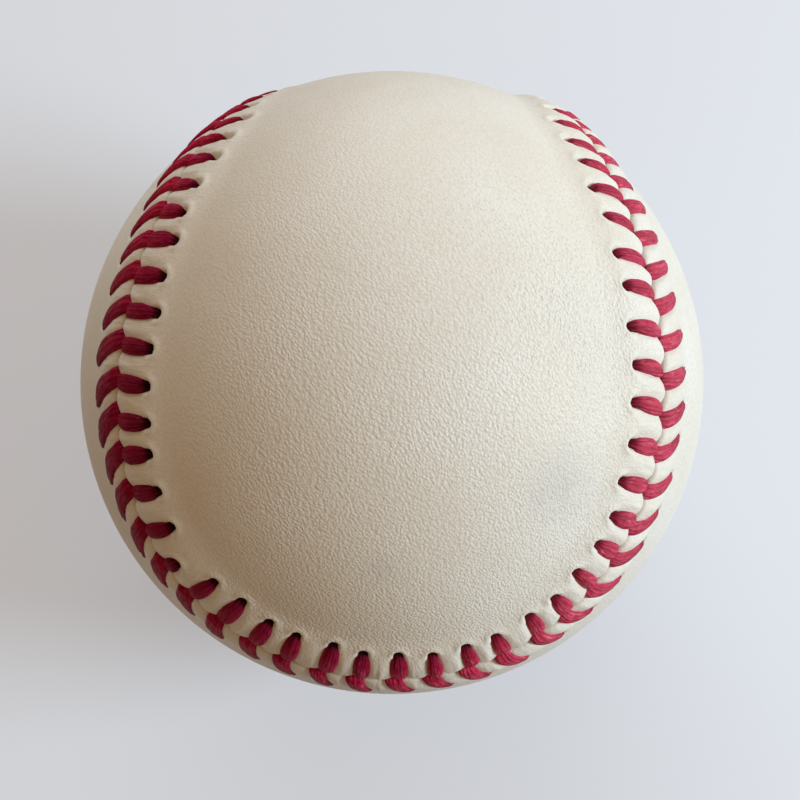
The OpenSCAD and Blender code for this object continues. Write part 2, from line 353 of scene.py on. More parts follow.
class Stitches:
    """Places and sizes of the stitches on one panel, by pair."""

    def __init__(self, side):
        even = (np.arange(PAIRS) + FIRST_PAIR_SHARE) * pitch
        turn = turn_at(even)
        middle = even + drift(turn)
        lean = LEAN[side] - LEAN_SWING[side] * np.sin(turn) + strayed(turn, LEAN_ROWS[side])
        self.bend = BEND[side] + strayed(turn, BEND_ROWS[side])
        step = side * PAIR_STEP / 2 + strayed(turn, STEP_ROWS[side])
        self.seam = middle + step + rng.normal(0, SEAM_SPREAD, PAIRS)
        self.lean = lean + rng.normal(0, LEAN_SPREAD, PAIRS)
        uneven = HOLE_SWAY[side] * np.cos(HOLE_SWAYS * turn) - HOLE_SWING[side] * np.sin(turn)
        uneven += strayed(turn, HOLE_ROWS[side])
        self.hole = HOLE_OFFSET[side] + uneven + rng.normal(0, HOLE_SPREAD, PAIRS)
        slim = SLIM_SWING * np.sin(turn) + strayed(turn, SLIM_ROWS[side])
        self.width = LEG_W * (1 - slim) + rng.normal(0, WIDTH_SPREAD, PAIRS)
        self.pinch = PINCH[side] + strayed(turn, PINCH_ROWS[side])
        self.blunt = strayed(turn, BLUNT_ROWS[side])
        self.full = strayed(turn, FULL_ROWS[side])
        self.gape = strayed(turn, GAPE_ROWS[side])
        self.pit_r = PIT_R[side] - strayed(turn, NARROW_ROWS[side])
        self.thickness = LEG_T - strayed(turn, THIN_ROWS) + rng.normal(0, THICKNESS_SPREAD, PAIRS)
        self.press = 1 + rng.normal(0, PRESS_SPREAD, PAIRS)
        self.strand_start = rng.uniform(0, 1, PAIRS)
        self.strand_twist = rng.normal(STRAND_TWIST, TWIST_SPREAD, PAIRS)
        # Painted shade in each hole, less in some stretches of the seam
        self.painted_shade = rng.uniform(LEAST_HOLE_SHADE, 1, PAIRS) * (1 - strayed(turn, PALER_HOLE_ROWS))
        # Painted shade on the legs where the ball is in shade
        self.side_shade = strayed(turn, SHADE_SIDE_ROWS)
        if side == UPRIGHT:
            self.hole[SLIPPED_PAIR] += SLIP
            self.side_shade[SLIPPED_PAIR] += SLIP_SHADE
            self.hole[LONG_PAIR] += LONG

    def leg_along(self, i, across):
        share = np.clip(across / self.hole[i], 0, LEAN_OVERRUN)
        return self.seam[i] + self.lean[i] * share**self.bend[i]


stitches = {UPRIGHT: Stitches(UPRIGHT), CROSSWISE: Stitches(CROSSWISE)}
crease_phase = rng.uniform(0, 2 * np.pi, len(CREASE_LENGTHS))


def stitch_marks(side, along, across):
    """Leather pressed by a leg, sunk at a hole, raised round it and with painted shade in the hole, each from
    0 to about 1.
    """
    sewn = stitches[side]
    base = np.floor(along / pitch - FIRST_PAIR_SHARE).astype(int)
    press = np.zeros_like(along)
    pit = np.zeros_like(along)
    rim = np.zeros_like(along)
    pit_shade = np.zeros_like(along)
    for step in (-2, -1, 0, 1, 2):
        number = base + step
        i = number % PAIRS
        shift = (number // PAIRS) * seam_length
        share = across / sewn.hole[i]
        slope = np.cos(np.arctan2(sewn.lean[i], sewn.hole[i]))
        aside = (along - shift - sewn.leg_along(i, across)) * slope
        on_leg = smooth(*PRESS_END, share)
        press = np.maximum(press, sewn.press[i] * np.exp(-(aside / PRESS_W)**2) * on_leg)
        hole_along = sewn.seam[i] + sewn.lean[i] + shift
        past = across - sewn.hole[i] - PIT_STEP[side]
        past = past - np.clip(past, 0, sewn.gape[i])
        away = np.hypot(along - hole_along, past)
        sunk = np.exp(-(away / sewn.pit_r[i])**PIT_WALL)
        pit = np.maximum(pit, sunk)
        # Painted shade in the hole
        pit_shade = np.maximum(pit_shade, sewn.painted_shade[i] * sunk)
        outside = smooth(*RIM_RISE, past)
        rim = np.maximum(rim, np.exp(-((away - RIM_R) / RIM_W)**2) * outside)
    return press, pit, rim, pit_shade


def welt(across, end):
    """Rise of the leather towards the seam, from 0 where it ends to 1."""
    inside = EDGE_SHARE + (1 - EDGE_SHARE) * np.sin(np.pi / 2 * np.clip(across / WELT_CREST, 0, 1))
    fall = np.clip((across - WELT_CREST) / (end - WELT_CREST), 0, 1)
    return np.where(across < WELT_CREST, inside, 0.5 + 0.5 * np.cos(np.pi * fall))


def creases(along, across):
    """Fine folds that run from the stitches into the leather."""
    folds = np.zeros_like(along)
    for length, phase in zip(CREASE_LENGTHS, crease_phase):
        wander = CREASE_WANDER * np.sin(across / CREASE_WANDER_W + phase)
        folds = folds + np.sin(2 * np.pi * along / length + phase + wander) / len(CREASE_LENGTHS)
    faint = FAINT_CREASE_SHARE * smooth(*FAINT_CREASE_FADE, across)
    strong = (1 - FAINT_CREASE_SHARE) * smooth(*STRONG_CREASE_FADE, across)
    return folds * (faint + strong) * smooth(*CREASE_EDGE, across)


def rise(side, along, across, press):
    """Height of the puffed leather where the stitches press it by a share."""
    turn = turn_at(along)
    size = WELT_H * (1 + WELT_SWING * np.sin(turn) + strayed(turn, WELT_ROWS))
    end = WELT_END + strayed(turn, REACH_ROWS[side])
    return size * welt(across, end) * (1 - PRESS_SHARE * press)


def leather_height(side, along, across):
    press, pit, rim, _ = stitch_marks(side, along, across)
    marks = RIM_H[side] * rim - PIT_DEPTH[side] * pit
    return rise(side, along, across, press) + marks + CREASE_H * creases(along, across) * (1 - press)


# Meshes

def make_object(name, points, faces):
    mesh = bpy.data.meshes.new(name)
    mesh.from_pydata((np.asarray(points) * MM).tolist(), [], faces)
    mesh.validate()
    mesh.polygons.foreach_set("use_smooth", [True] * len(mesh.polygons))
    mesh.update()
    obj = bpy.data.objects.new(name, mesh)
    bpy.context.scene.collection.objects.link(obj)
    return obj


def store(obj, name, values):
    """Keep a number or a vector at each point of an object, for its material."""
    kind, field = ("FLOAT", "value") if values.ndim == 1 else ("FLOAT_VECTOR", "vector")
    attribute = obj.data.attributes.new(name, kind, "POINT")
    attribute.data.foreach_set(field, values.ravel())


def strip_faces(low, high, count, flip):
    """Quads between two closed rows, given by the first point of each."""
    faces = []
    for c in range(count):
        n = (c + 1) % count
        quad = [low + c, low + n, high + n, high + c]
        faces.append(quad[::-1] if flip else quad)
    return faces


def grid_faces(rows, count, first=0, flip=False):
    """Quads between the closed rows of a band."""
    faces = []
    for r in range(rows - 1):
        faces += strip_faces(first + r * count, first + (r + 1) * count, count, flip)
    return faces


def seam_distance(ways):
    """Signed distance of unit vectors from the seam, positive on the upright panel."""
    along = np.arange(SEAM_SAMPLES) * seam_length / SEAM_SAMPLES
    normal, _, side_way = seam_frame(along)
    out = np.empty(len(ways))
    for start in range(0, len(ways), WAYS_AT_ONCE):
        part = ways[start:start + WAYS_AT_ONCE]
        near = np.argmax(part @ normal.T, 1)
        angle = np.arccos(np.clip(np.einsum("ij,ij->i", part, normal[near]), -1, 1))
        sign = np.sign(np.einsum("ij,ij->i", part - normal[near], side_way[near]))
        out[start:start + WAYS_AT_ONCE] = sign * angle * BALL_R
    return out


def even_ways(step):
    """Unit vectors spread evenly over the ball, about one step apart."""
    count = int(4 * math.pi * BALL_R**2 / (TRIANGLE_H * step**2))
    i = np.arange(count) + 0.5
    y = 1 - 2 * i / count
    turn = math.pi * (1 + math.sqrt(5)) * i
    radius = np.sqrt(1 - y * y)
    return np.stack([radius * np.cos(turn), y, radius * np.sin(turn)], -1)


def flat_map(side, ways):
    """Map that keeps circles round, so its triangles suit the ball. It opens opposite the panel's waist."""
    depth = 1 + side * ways[:, 1]
    return np.stack([ways[:, 0], ways[:, 2]], -1) / depth[:, None]


# The leather panels

columns = COLUMNS_PER_PAIR * PAIRS
column_along = np.arange(columns) * seam_length / columns


def outer_band(side):
    """Rows of points from the foot of the leather's edge out to its smooth middle, with painted shade in the
    holes and distance.
    """
    seam_press = stitch_marks(side, column_along, np.full(columns, EDGE_ROLL))[0]
    edge = EDGE_GAP + EDGE_NOTCH * np.clip(seam_press, 0, 1)
    foot = [(0.0, EDGE_ROLL + drop) for drop in FOOT_DROPS]
    roll = [
        (EDGE_ROLL * (1 - math.cos(a)), EDGE_ROLL * (1 - math.sin(a)))
        for a in np.radians(np.linspace(0, 90, ROLL_ROWS))
    ]
    fine = np.arange(EDGE_ROLL + FINE_STEP, FINE_END, FINE_STEP)
    coarse = np.arange(FINE_END, COARSE_END, COARSE_STEP)
    top = [(out, 0.0) for out in (*fine, *coarse, WELT_END, BAND_W)]
    rows = []
    hole_shade = []
    away = []
    for out, drop in foot + roll + top:
        across = out + edge * (1 - smooth(*NOTCH_FADE, np.full(columns, out)))
        height = leather_height(side, column_along, across) - drop
        rows.append(on_ball(column_along, side * across, height))
        hole_shade.append(stitch_marks(side, column_along, across)[3])
        away.append(across)
    return rows, np.concatenate(hole_shade), np.concatenate(away)


def inner_band(side):
    """Rows of points under the leather, from its smooth middle back to the seam."""
    rows = []
    for out in (BAND_W, *INNER_ROWS):
        across = np.full(columns, out)
        lift = INNER_SHARE * rise(side, column_along, across, np.zeros(columns))
        rows.append(on_ball(column_along, side * across, lift - LEATHER_T))
    return rows


def fill(side, ring):
    """Ways to points of the smooth middle inside a ring, and triangles between the ring and them."""
    ways = even_ways(FILL_STEP)
    ways = ways[side * seam_distance(ways) > BAND_W + FILL_STEP / 2]
    flat = flat_map(side, np.concatenate([unit(ring), ways]))
    edges = [(i, (i + 1) % columns) for i in range(columns)]
    made = delaunay_2d_cdt([Vector(p) for p in flat.tolist()], edges, [], INSIDE_ONLY, MERGE_WITHIN)
    triangles = [list(face) for face in made[2]]
    return ways, triangles


def panel_faces(side, rows, ways, under_rows, triangles):
    """Faces of a closed panel, whose points are its outer rows and middle and then its inner ones."""
    outer_rim = (len(rows) - 1) * columns
    inner_rim = outer_rim + columns + len(ways)
    inner_foot = inner_rim + (len(under_rows) - 1) * columns
    flip = side == CROSSWISE
    faces = grid_faces(len(rows), columns, 0, flip)
    faces += grid_faces(len(under_rows), columns, inner_rim, flip)
    faces += strip_faces(inner_foot, 0, columns, flip)
    corners = np.concatenate([rows[-1], ways * BALL_R])
    for triangle in triangles:
        a, b, c = corners[triangle]
        outward = np.dot(np.cross(b - a, c - a), a + b + c) > 0
        ordered = triangle if outward else triangle[::-1]
        faces.append([outer_rim + v for v in ordered])
        under = [v + (inner_rim if v < columns else inner_foot) for v in ordered]
        faces.append(under[::-1])
    return faces


def cover_panel(name, node, side):
    rows, hole_shade, away = outer_band(side)
    under_rows = inner_band(side)
    ways, triangles = fill(side, rows[-1])
    points = np.concatenate(rows + [ways * BALL_R] + under_rows + [ways * (BALL_R - LEATHER_T)])
    panel = make_object(name, points, panel_faces(side, rows, ways, under_rows, triangles))
    plain = len(points) - len(hole_shade)
    # Painted shade in the holes
    store(panel, "pit_shade", np.concatenate([hole_shade, np.zeros(plain)]))
    beside_seam = np.stack([np.tile(column_along, len(rows)), away, np.zeros(len(away))], -1)
    elsewhere = np.tile((0.0, BAND_W, 0.0), (plain, 1))
    store(panel, "seam_place", np.concatenate([beside_seam, elsewhere]))
    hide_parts(node)
    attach(panel, "root")
    return panel


# The sewing thread

def leg_looks(sewn, i, count):
    """Painted shade, fray and turn of the strands at each place along one stitch, from under its hole."""
    dark = sewn.side_shade[i] + LEG_SHADE * smooth(*LEG_SHADE_FADE, RING_SHARES)
    dark = dark + (1 - dark) * sewn.painted_shade[i] * smooth(*HOLE_SHADE_FADE, RING_SHARES)
    painted_shade = [1.0, 1.0, *dark, max(SEAM_END_SHADE, sewn.side_shade[i]), 1.0, 1.0]
    fray = [1.0, 1.0, *smooth(*FRAY_FADE, RING_SHARES), 0.0, 0.0, 0.0]
    strand = sewn.strand_start[i] + sewn.strand_twist[i] * np.linspace(1, 0, count)
    return zip(painted_shade, fray, strand)


def leg_places(side, i, wrap):
    """Places and sizes of the thread along one stitch, from under its hole to the foot of the seam."""
    sewn = stitches[side]
    hole = sewn.hole[i]
    shift = wrap * seam_length
    across = RING_SHARES * hole
    along = sewn.leg_along(np.full(len(RING_SHARES), i), across)
    leg_w = sewn.width[i] * np.interp(RING_SHARES, LEG_SHARES, WIDTH_SHARES[side])
    pinch = sewn.pinch[i] * smooth(*PINCH_FADE, RING_SHARES)
    blunt = sewn.blunt[i] * smooth(*BLUNT_FADE, RING_SHARES)
    full = sewn.full[i] * smooth(*FULL_START, RING_SHARES) * smooth(*FULL_END, RING_SHARES)
    leg_w *= 1 - pinch + blunt
    leg_w *= 1 + full
    leg_t = sewn.thickness[i] * np.interp(RING_SHARES, LEG_SHARES, THICK_SHARES[side])
    press = stitch_marks(side, along, across)[0]
    seat = rise(side, along, across, press)
    height = seat + leg_t / 2 - LEG_SINK
    height[0] = seat[0] * HOLE_SEAT
    hidden_h = -LEATHER_T + NECK_T / 2 + NECK_LIFT
    hole_along = sewn.seam[i] + sewn.lean[i]
    hole_across = hole + PIT_STEP[side] / 2
    places = [
        (hole_along, hole_across, hidden_h, NECK_W, NECK_T),
        (hole_along, hole_across, hidden_h + NECK_RISE, NECK_W, NECK_T),
    ]
    places += list(zip(along, across, height, leg_w, leg_t))
    end = SEAM_END[side]
    places += [
        (sewn.seam[i], end, height[-1] - SEAM_END_DROP, leg_w[-1] * SEAM_END_WIDTH, NECK_T),
        (sewn.seam[i], end - DIVE_STEP, height[-1] - DIVE_DROP, NECK_W, NECK_T),
        (sewn.seam[i], end - FOOT_STEP, hidden_h + FOOT_RISE, NECK_W, NECK_T),
    ]
    return [
        (a + shift, side * c, h, w, t, *looks)
        for (a, c, h, w, t), looks in zip(places, leg_looks(sewn, i, len(places)))
    ]


def thread_places(number):
    """A thread changes panel at every stitch and works back along the seam."""
    places = []
    for step in range(PAIRS):
        pair = PAIRS - step
        side = UPRIGHT if (step + number) % 2 == 0 else CROSSWISE
        places += leg_places(side, pair % PAIRS, pair // PAIRS)
    return np.array(places)


def refine(values, steps):
    """Smooth curve through rows of values, by cubic pieces."""
    padded = np.concatenate([values[:1], values, values[-1:]])
    p0, p1, p2, p3 = padded[:-3], padded[1:-2], padded[2:-1], padded[3:]
    square = 2 * p0 - 5 * p1 + 4 * p2 - p3
    cube = 3 * p1 - p0 - 3 * p2 + p3
    out = []
    for k in range(steps):
        t = k / steps
        out.append(0.5 * (2 * p1 + (p2 - p0) * t + square * t**2 + cube * t**3))
    curve = np.stack(out, 1).reshape(-1, values.shape[1])
    return np.concatenate([curve, values[-1:]])


def rounded(share):
    """A sine or cosine made fuller, for a section between an ellipse and a box."""
    return np.sign(share) * np.abs(share)**SECTION_POWER


def strand_form(flat, strand, fray):
    """Place of points among the strands, and their share of the full girth, less in the grooves."""
    warp = STRAND_WARP * np.sin(STRAND_WARP_TURN * flat + 2 * np.pi * strand)
    strand_turn = STRANDS / 2 * (flat + warp) + strand
    uneven = GROOVE_MEAN + GROOVE_SWING * np.sin(GROOVE_TURN * strand_turn + GROOVE_SHIFT * strand)
    groove = (1 - np.abs(np.cos(np.pi * strand_turn)))**2 * uneven
    return strand_turn, 1 - (STRAND_DEPTH + FRAY_DEPTH * fray) * groove


def sewing_thread(name, node, number):
    places = refine(thread_places(number), RING_STEPS)
    along, across, height, width, thickness, painted_shade, fray, strand = places.T
    points = on_ball(along, across, height)
    forward = unit(np.gradient(points, axis=0))
    width_way = seam_frame(along)[1]
    thick_way = unit(np.cross(forward, width_way))
    run = np.concatenate([[0], np.cumsum(np.linalg.norm(np.diff(points, axis=0), axis=1))])
    turn = np.concatenate([
        np.linspace(0, np.pi, TOP_SIDES, endpoint=False),
        np.linspace(np.pi, 2 * np.pi, UNDER_SIDES, endpoint=False),
    ])
    flat = rounded(np.cos(turn))[None]
    crown = rounded(np.sin(turn))[None]
    fray = fray[:, None]
    strand_turn, girth = strand_form(flat, strand[:, None], fray)
    x = width[:, None] / 2 * flat * (1 + girth) / 2
    y = thickness[:, None] / 2 * crown * girth
    rings = points[:, None] + x[..., None] * width_way[:, None] + y[..., None] * thick_way[:, None]
    reach = FRAY_REACH * fray * (np.cos(np.pi * strand_turn)**2 - 0.5)
    rings = rings - reach[..., None] * forward[:, None]
    count = len(points)
    sides = len(turn)
    faces = grid_faces(count, sides, flip=True)
    faces.append(list(range(sides)))
    faces.append(list(range((count - 1) * sides, count * sides))[::-1])
    thread = make_object(name, rings.reshape(-1, 3), faces)
    store(thread, "thread_place", np.stack([strand_turn, y, np.broadcast_to(run[:, None], x.shape)], -1))
    # Painted shade along the thread
    store(thread, "painted_shade", np.repeat(painted_shade, sides))
    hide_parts(node)
    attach(thread, "root")
    return thread


# Materials

class Nodes:
    """Short calls to build one node material."""

    def __init__(self, name):
        self.material = bpy.data.materials.new(name)
        self.material.use_nodes = True
        self.tree = self.material.node_tree
        self.shader = self.tree.nodes["Principled BSDF"]

    def add(self, kind, **inputs):
        node = self.tree.nodes.new(kind)
        for name, value in inputs.items():
            self.feed(node, name.replace("_", " "), value)
        return node

    def feed(self, node, name, value):
        if isinstance(value, bpy.types.NodeSocket):
            self.tree.links.new(value, node.inputs[name])
        else:
            node.inputs[name].default_value = value

    def place(self, stretch=(1, 1, 1), turn=(0, 0, 0)):
        """Place on the object in millimetres, turned and then drawn out along its axes."""
        coordinates = self.add("ShaderNodeTexCoord")
        mapping = self.add("ShaderNodeMapping")
        mapping.vector_type = "TEXTURE"
        self.feed(mapping, "Vector", coordinates.outputs["Object"])
        self.feed(mapping, "Rotation", turn)
        self.feed(mapping, "Scale", tuple(s * MM for s in stretch))
        return mapping.outputs["Vector"]

    def shrunk(self, vector, shares):
        """A vector with each axis times a share."""
        return self.add("ShaderNodeMapping", Vector=vector, Scale=shares).outputs["Vector"]

    def axes(self, vector):
        """The three numbers of a vector."""
        return self.add("ShaderNodeSeparateXYZ", Vector=vector).outputs

    def attribute(self, name, output="Fac"):
        node = self.add("ShaderNodeAttribute")
        node.attribute_name = name
        return node.outputs[output]

    def noise(self, vector, scale, detail=2.0, roughness=0.5, distortion=0.0):
        node = self.add(
            "ShaderNodeTexNoise", Vector=vector, Scale=scale, Detail=detail,
            Roughness=roughness, Distortion=distortion,
        )
        return node.outputs["Fac"]

    def cells(self, vector, scale):
        return self.add("ShaderNodeTexVoronoi", Vector=vector, Scale=scale).outputs["Distance"]

    def math(self, operation, a, b=0.0):
        node = self.add("ShaderNodeMath")
        node.operation = operation
        self.feed(node, 0, a)
        self.feed(node, 1, b)
        return node.outputs[0]

    def product(self, first, *others):
        for other in others:
            first = self.math("MULTIPLY", first, other)
        return first

    def spread(self, value, span, to=(0.0, 1.0)):
        """A number from one span, turned into a number in another by a smooth step."""
        node = self.add(
            "ShaderNodeMapRange", Value=value, From_Min=span[0], From_Max=span[1], To_Min=to[0], To_Max=to[1],
        )
        node.interpolation_type = "SMOOTHSTEP"
        return node.outputs["Result"]

    def blend(self, share, first, second):
        """Mix of two numbers."""
        node = self.add("ShaderNodeMix")
        for name, value in ((0, share), (2, first), (3, second)):
            self.feed(node, name, value)
        return node.outputs[0]

    def mix(self, share, first, second):
        """Mix of two colours."""
        node = self.add("ShaderNodeMix")
        node.data_type = "RGBA"
        for name, value in ((0, share), (6, first), (7, second)):
            self.feed(node, name, value)
        return node.outputs[2]

    def near(self, centre, radius):
        """1 at a point on the ball, in millimetres, fading to 0 at a radius."""
        distance = self.add("ShaderNodeVectorMath")
        distance.operation = "DISTANCE"
        self.feed(distance, 0, self.place())
        self.feed(distance, 1, centre)
        return self.spread(distance.outputs["Value"], (0.0, radius), (1.0, 0.0))

    def bump(self, height, depth, strength=1.0):
        node = self.add("ShaderNodeBump", Strength=strength, Distance=depth * MM, Height=height)
        return node.outputs["Normal"]

    def finish(self, **inputs):
        for name, value in inputs.items():
            self.feed(self.shader, name.replace("_", " "), value)
        return self.material


def rgb(r, g, b):
    return (r, g, b, 1.0)


# Colours of the leather, its marks and the thread
CREAM = rgb(0.78, 0.752, 0.66)
PALE_CREAM = rgb(0.82, 0.806, 0.738)
GRAIN_BROWN = rgb(0.55, 0.47, 0.37)
PORE_BROWN = rgb(0.36, 0.31, 0.25)
SMUDGE_GREY = rgb(0.48, 0.5, 0.52)
# Painted shade at the bottom of the ball
SHADE_TAN = rgb(0.55, 0.46, 0.32)
RUB_BLUE = rgb(0.42, 0.43, 0.53)
# Painted shade in the holes
HOLE_SHADE_BROWN = rgb(0.09, 0.055, 0.04)
CRIMSON = rgb(0.54, 0.008, 0.055)
BRIGHT_CRIMSON = rgb(0.62, 0.016, 0.08)
FIBRE_SHADE = rgb(0.28, 0.001, 0.02)
# Painted light: the thread pinker towards the lit right side
LIT_SIDE_PINK = rgb(0.8, 0.3, 0.36)
# Painted highlight on the thread's fibres
GLINT_PINK = rgb(0.78, 0.17, 0.25)
GROOVE_SHADE = rgb(0.14, 0.001, 0.01)
# Painted shade on the thread
SHADED_CRIMSON = rgb(0.16, 0.001, 0.022)
HOLE_SHADE_CRIMSON = rgb(0.015, 0.003, 0.004)

# Patches of the leather, by middle and radius, one of them painted shade at the bottom of the ball, and how
# strong their colours and the grain's valleys are
COARSE_GRAIN = ((19.5, 0.0, 31.4), 17.0)
COARSE_GAIN = 2.4
SMUDGE = ((16.6, -16.9, 28.4), 6.5)
SMUDGE_STRENGTH = 0.6
BOTTOM_SHADE = ((-4.5, -32.5, 17.0), 18.0)
BOTTOM_SHADE_STRENGTH = 0.42
BLUE_RUB = ((-0.2, -25.4, 26.9), 2.6)
BLUE_RUB_STRENGTH = 0.35
VALLEY_STRENGTH = 0.16

# The grain's stretch and turn, and the scales of its pebbles, its fine grain, the pores and the creases
GRAIN_STRETCH = (1.4, 1.0, 1.0)
GRAIN_TURN = (0.0, 0.0, math.radians(-50))
PEBBLE_SCALE = 3.8
FINE_GRAIN_SCALE = 6.5
PORE_SCALE = 2.2
CREASE_SCALE = 3.6


def grain_depth(n, from_seam, broad):
    """Share of the grain's depth, less at the left, far right, seam and waist and more in one patch."""
    x, y, z = n.axes(n.place())
    underside = n.spread(z, (-6.0, 10.0), (0.8, 0.0))
    return n.product(
        n.spread(broad, (0.35, 0.65), (0.7, 1.0)),
        n.math("MAXIMUM", n.spread(x, (-23.0, -11.0), (0.22, 1.0)), underside),
        n.spread(from_seam, (2.5, 7.0), (0.3, 1.0)),
        n.spread(y, (-28.0, 25.0), (1.4, 0.5)),
        n.spread(n.near(*COARSE_GRAIN), (0.0, 1.0), (1.0, COARSE_GAIN)),
        n.math("MAXIMUM", n.spread(x, (27.0, 32.0), (1.0, 0.3)), underside),
    )


def pores(n, from_seam):
    """Dark pores, stronger to the right and fainter towards the waist and the seam."""
    x, y, _ = n.axes(n.place())
    return n.product(
        n.spread(n.cells(n.place(), PORE_SCALE), (0.16, 0.4), (1.0, 0.0)),
        n.spread(x, (-16.0, 22.0), (0.05, 0.24)),
        n.spread(y, (6.0, 22.0), (1.0, 0.25)),
        n.spread(from_seam, (3.5, 7.0)),
    )


def leather_marks(n, colour):
    """A colour with the grey smudge, painted tan shade at the bottom, the blue rub and painted shade in the
    holes.
    """
    smudge = n.product(n.near(*SMUDGE), n.noise(n.place(), scale=0.5), SMUDGE_STRENGTH)
    colour = n.mix(smudge, colour, SMUDGE_GREY)
    # Painted shade, darker and tan towards the bottom of the ball
    colour = n.mix(n.product(n.near(*BOTTOM_SHADE), BOTTOM_SHADE_STRENGTH), colour, SHADE_TAN)
    blue_rub = n.product(n.near(*BLUE_RUB), n.noise(n.place(), scale=1.4), BLUE_RUB_STRENGTH)
    colour = n.mix(blue_rub, colour, RUB_BLUE)
    return n.mix(n.spread(n.attribute("pit_shade"), (0.3, 0.9), (0.0, 0.8)), colour, HOLE_SHADE_BROWN)


def leather_material():
    n = Nodes("cover_leather")
    grain_place = n.place(GRAIN_STRETCH, GRAIN_TURN)
    pebble = n.cells(grain_place, PEBBLE_SCALE)
    fine = n.noise(grain_place, FINE_GRAIN_SCALE, detail=2.0, roughness=0.6)
    broad = n.noise(n.place(), scale=0.09, detail=3.0, roughness=0.55)
    seam_place = n.attribute("seam_place", "Vector")
    from_seam = n.axes(seam_place)["Y"]
    grain = n.math("ADD", n.product(pebble, -1.0), n.product(fine, 0.8))
    grain = n.product(grain, grain_depth(n, from_seam, broad))
    drawn = n.shrunk(seam_place, (1.0, 0.3, 1.0))
    crease = n.noise(drawn, CREASE_SCALE, detail=3.0, roughness=0.65, distortion=0.8)
    crease = n.product(crease, n.spread(from_seam, (3.0, 7.0), (1.5, 0.0)))
    height = n.math("ADD", grain, crease)
    cream = n.mix(n.spread(broad, (0.3, 0.7)), CREAM, PALE_CREAM)
    valley = n.product(n.spread(pebble, (0.3, 0.65)), VALLEY_STRENGTH)
    colour = n.mix(valley, cream, GRAIN_BROWN)
    colour = n.mix(pores(n, from_seam), colour, PORE_BROWN)
    return n.finish(
        Base_Color=leather_marks(n, colour), Roughness=n.spread(fine, (0.3, 0.7), (0.42, 0.56)),
        Specular_IOR_Level=0.35, Normal=n.bump(height, depth=0.05),
    )


def thread_material():
    n = Nodes("seam_thread")
    place = n.attribute("thread_place", "Vector")
    fibre_place = n.shrunk(place, (0.24, 0.5, 0.13))
    fibre = n.noise(fibre_place, scale=6.0, detail=4.0, roughness=0.7, distortion=0.6)
    strand_turn = n.product(n.axes(place)["X"], math.pi)
    strand = n.math("ABSOLUTE", n.math("COSINE", strand_turn))
    height = n.math("ADD", fibre, n.product(strand, 0.4))
    blotch = n.noise(n.place(), scale=0.35, detail=1.0)
    crimson = n.mix(n.spread(blotch, (0.35, 0.65)), CRIMSON, BRIGHT_CRIMSON)
    colour = n.mix(n.spread(fibre, (0.36, 0.5)), FIBRE_SHADE, crimson)
    rightward = n.axes(n.place())["X"]
    # Painted light: the thread pinker and brighter towards the lit right side
    colour = n.mix(n.spread(rightward, (-6.0, 30.0), (0.0, 0.2)), colour, LIT_SIDE_PINK)
    # Painted highlights: pink glints on the fibres' crowns, stronger towards the lit right side
    glint = n.product(n.spread(fibre, (0.54, 0.68)), n.spread(rightward, (-25.0, 15.0), (0.35, 1.0)))
    colour = n.mix(glint, colour, GLINT_PINK)
    colour = n.mix(n.spread(strand, (0.0, 0.35), (0.3, 0.0)), colour, GROOVE_SHADE)
    # Painted shade: darker where the ball is in shade, towards each hole and in it
    painted_shade = n.attribute("painted_shade")
    colour = n.mix(n.spread(painted_shade, (0.0, 0.5), (0.0, 0.75)), colour, SHADED_CRIMSON)
    colour = n.mix(n.spread(painted_shade, (0.4, 0.95), (0.0, 0.95)), colour, HOLE_SHADE_CRIMSON)
    return n.finish(
        Base_Color=colour, Roughness=n.spread(fibre, (0.3, 0.7), (0.62, 0.48)),
        Normal=n.bump(height, depth=0.25), Specular_IOR_Level=0.05,
    )


def cork_material():
    n = Nodes("cork")
    granule = n.cells(n.place(), scale=0.62)
    speck = n.noise(n.place(), scale=1.6, detail=3.0, roughness=0.7)
    tan = n.mix(n.spread(granule, (0.2, 0.6)), rgb(0.60, 0.40, 0.23), rgb(0.44, 0.27, 0.14))
    colour = n.mix(n.spread(speck, (0.6, 0.72)), tan, rgb(0.12, 0.06, 0.03))
    return n.finish(Base_Color=colour, Roughness=0.85, Normal=n.bump(granule, depth=0.15, strength=0.5))


def rubber_material(name, dark, light):
    n = Nodes(name)
    haze = n.noise(n.place(), scale=0.3, detail=3.0)
    grit = n.noise(n.place(), scale=4.0)
    return n.finish(
        Base_Color=n.mix(n.spread(haze, (0.3, 0.7)), dark, light),
        Roughness=n.spread(haze, (0.3, 0.7), (0.55, 0.75)), Normal=n.bump(grit, depth=0.03, strength=0.5),
    )


# Bands of wound yarn: the turn of the first, and of each that crosses over it where a patch is above a level
FIRST_BAND_TURN = (0.0, 0.0, 0.0)
CROSSING_BANDS = (((0.9, 0.4, 0.2), 0.5), ((0.3, 1.2, 0.7), 0.58))
BAND_EDGE = 0.01

# A wave texture of scale 0.314 has one crest in each unit of length
ONE_CREST = 0.314


def yarn_turns(n, turn, yarn_w):
    """Parallel turns of yarn."""
    wave = n.add(
        "ShaderNodeTexWave", Vector=n.place(turn=turn), Scale=ONE_CREST / yarn_w, Distortion=0.6, Detail=1.0,
    )
    return wave.outputs["Fac"]


